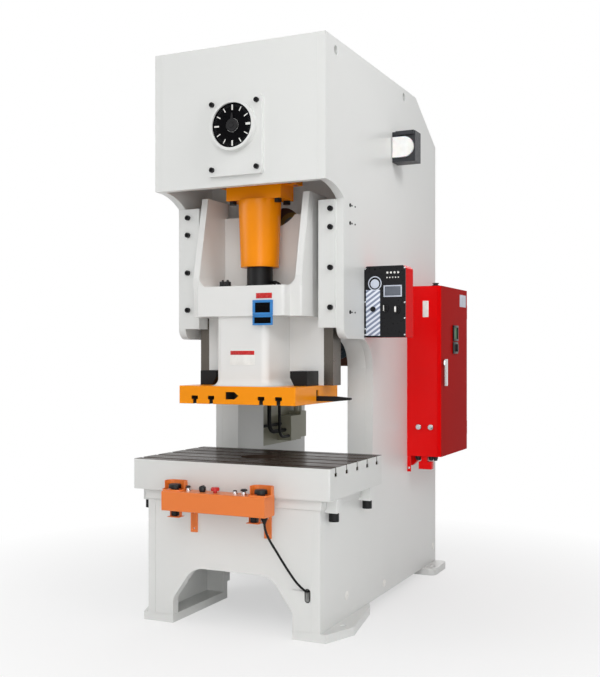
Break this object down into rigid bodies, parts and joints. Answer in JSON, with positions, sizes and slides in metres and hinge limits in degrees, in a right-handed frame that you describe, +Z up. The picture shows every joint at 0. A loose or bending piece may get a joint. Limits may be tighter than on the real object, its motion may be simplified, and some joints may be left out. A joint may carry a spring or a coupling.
{
  "type": "mechanical stamping press",
  "caption": "Open-front gap-frame crank press with guided slide, T-slotted bolster, two-hand console, control box and side electrical cabinet.",
  "frame": {"origin": "on the floor, at the centre of the four anchor holes", "axes": "+X to the right as seen from the front, +Y to the back, +Z up"},
  "size_m": [1.244, 1.9425, 2.8],
  "materials": {
    "frame_paint": "semi-gloss enamel",
    "primer": "matt primer",
    "bare_steel": "ground",
    "bolster_steel": "ground, lightly oiled",
    "black_steel": "black oxide",
    "orange_paint": "semi-gloss enamel",
    "console_paint": "semi-gloss enamel",
    "red_paint": "semi-gloss enamel",
    "panel_black": "satin",
    "black_plastic": "satin",
    "red_plastic": "gloss",
    "pale_plastic": "satin",
    "hose_rubber": "matt",
    "belt_rubber": "matt",
    "bronze": "machined",
    "gear_steel": "machined",
    "motor_paint": "semi-gloss enamel",
    "handle_metal": "polished",
    "device_plastic": "satin"
  },
  "bodies": {
    "frame": {"side_plate_left": "frame_paint", "side_plate_right": "frame_paint", "head_front_plate": "frame_paint", "head_top_plate": "frame_paint", "rear_cover": "frame_paint", "drive_walls": "primer", "head_apron": "frame_paint", "columns": "frame_paint", "base_front_plate": "frame_paint", "base_plates": "frame_paint", "foot_plates": "frame_paint", "bed_plate": "frame_paint", "bolster": "bolster_steel", "bolster_lugs": "frame_paint", "frame_screws": "black_steel", "gibs": "frame_paint", "guide_beds": "bare_steel", "bearing_cover": "frame_paint", "angle_dial": "pale_plastic", "bearings": "bronze", "motor": "motor_paint", "drive_belts": "belt_rubber", "side_lamp": "panel_black", "lamp_lens": "pale_plastic", "control_box": "red_paint", "control_panel": "panel_black", "cabinet": "red_paint", "electrical_gear": "device_plastic", "cable_glands": "black_plastic", "console": "console_paint", "console_brackets": "console_paint", "button_guards": "console_paint", "console_lamps": "handle_metal", "console_cable": "hose_rubber", "air_unit": "motor_paint", "air_hoses": "hose_rubber"},
    "crank": {"crankshaft": "gear_steel", "main_gear": "gear_steel"},
    "drive": {"drive_shaft": "gear_steel"},
    "flywheel": {"flywheel": "gear_steel"},
    "rotor": {"motor_pulley": "gear_steel"},
    "rod": {"connecting_rod": "orange_paint", "rod_cap": "orange_paint", "rod_bolts": "black_steel"},
    "screw": {"adjusting_screw": "black_steel"},
    "slide": {"slide": "frame_paint", "slide_plate": "orange_paint", "slide_rails": "bare_steel", "stop_blocks": "hose_rubber"},
    "knockout": {"knockout_bar": "black_steel"},
    "door": {"cabinet_door": "red_paint"},
    "handle": {"door_handle": "handle_metal"},
    "palm_left": {"palm_button_left": "black_plastic"},
    "palm_right": {"palm_button_right": "black_plastic"},
    "stop": {"emergency_stop": "red_plastic"},
    "selector": {"console_selector": "black_plastic"},
    "knob_left": {"panel_knob_left": "black_plastic"},
    "knob_right": {"panel_knob_right": "black_plastic"}
  },
  "joints": [
    {"name": "crank_turn", "type": "hinge", "parent": "frame", "child": "crank", "pos_m": [0, -0.577, 2.4], "axis": [0, 1, 0], "range_deg": [0, 180]},
    {"name": "ram_stroke", "type": "slide", "parent": "frame", "child": "rod", "axis": [0, 0, 1], "range_m": [0, 0.16]},
    {"name": "drive_turn", "type": "hinge", "parent": "frame", "child": "drive", "pos_m": [0, -0.117, 2], "axis": [0, 1, 0], "range_deg": [-720, 0]},
    {"name": "flywheel_spin", "type": "hinge", "parent": "frame", "child": "flywheel", "pos_m": [0, 0.493, 2], "axis": [0, 1, 0], "continuous": true},
    {"name": "motor_spin", "type": "hinge", "parent": "frame", "child": "rotor", "pos_m": [0, 0.493, 1.43], "axis": [0, 1, 0], "continuous": true},
    {"name": "height_adjust", "type": "slide", "parent": "rod", "child": "slide", "axis": [0, 0, 1], "range_m": [-0.03, 0.05]},
    {"name": "screw_turn", "type": "hinge", "parent": "slide", "child": "screw", "pos_m": [0, -0.577, 1.7], "axis": [0, 0, 1], "range_deg": [-1080, 1800]},
    {"name": "knockout_lift", "type": "slide", "parent": "slide", "child": "knockout", "axis": [0, 0, 1], "range_m": [0, 0.028]},
    {"name": "cabinet_door_swing", "type": "hinge", "parent": "frame", "child": "door", "pos_m": [0.657, 0.8795, 1.2], "axis": [0, 0, 1], "range_deg": [0, 110]},
    {"name": "door_handle_turn", "type": "hinge", "parent": "door", "child": "handle", "pos_m": [0.664, 0.383, 1.2619], "axis": [1, 0, 0], "range_deg": [0, 90]},
    {"name": "palm_left_press", "type": "slide", "parent": "frame", "child": "palm_left", "axis": [0, 0, -1], "range_m": [0, 0.006], "stiffness_N_per_m": 800, "springref_m": -0.01},
    {"name": "palm_right_press", "type": "slide", "parent": "frame", "child": "palm_right", "axis": [0, 0, -1], "range_m": [0, 0.006], "stiffness_N_per_m": 800, "springref_m": -0.01},
    {"name": "stop_press", "type": "slide", "parent": "frame", "child": "stop", "axis": [0, 0, -1], "range_m": [0, 0.006], "stiffness_N_per_m": 500, "springref_m": -0.006},
    {"name": "selector_turn", "type": "hinge", "parent": "frame", "child": "selector", "pos_m": [-0.078, -1.007, 0.671], "axis": [0, 0, 1], "range_deg": [-45, 45]},
    {"name": "knob_left_turn", "type": "hinge", "parent": "frame", "child": "knob_left", "pos_m": [0.576, -0.33, 1.539], "axis": [0, 1, 0], "range_deg": [-135, 135]},
    {"name": "knob_right_turn", "type": "hinge", "parent": "frame", "child": "knob_right", "pos_m": [0.637, -0.33, 1.532], "axis": [0, 1, 0], "range_deg": [-135, 135]}
  ],
  "couplings": [
    {"joint": "ram_stroke", "follows": "crank_turn", "m_per_rad": 0.05093},
    {"joint": "drive_turn", "follows": "crank_turn", "ratio": -4},
    {"joint": "motor_spin", "follows": "flywheel_spin", "ratio": 4.5},
    {"joint": "height_adjust", "follows": "screw_turn", "m_per_rad": 0.0015915}
  ]
}
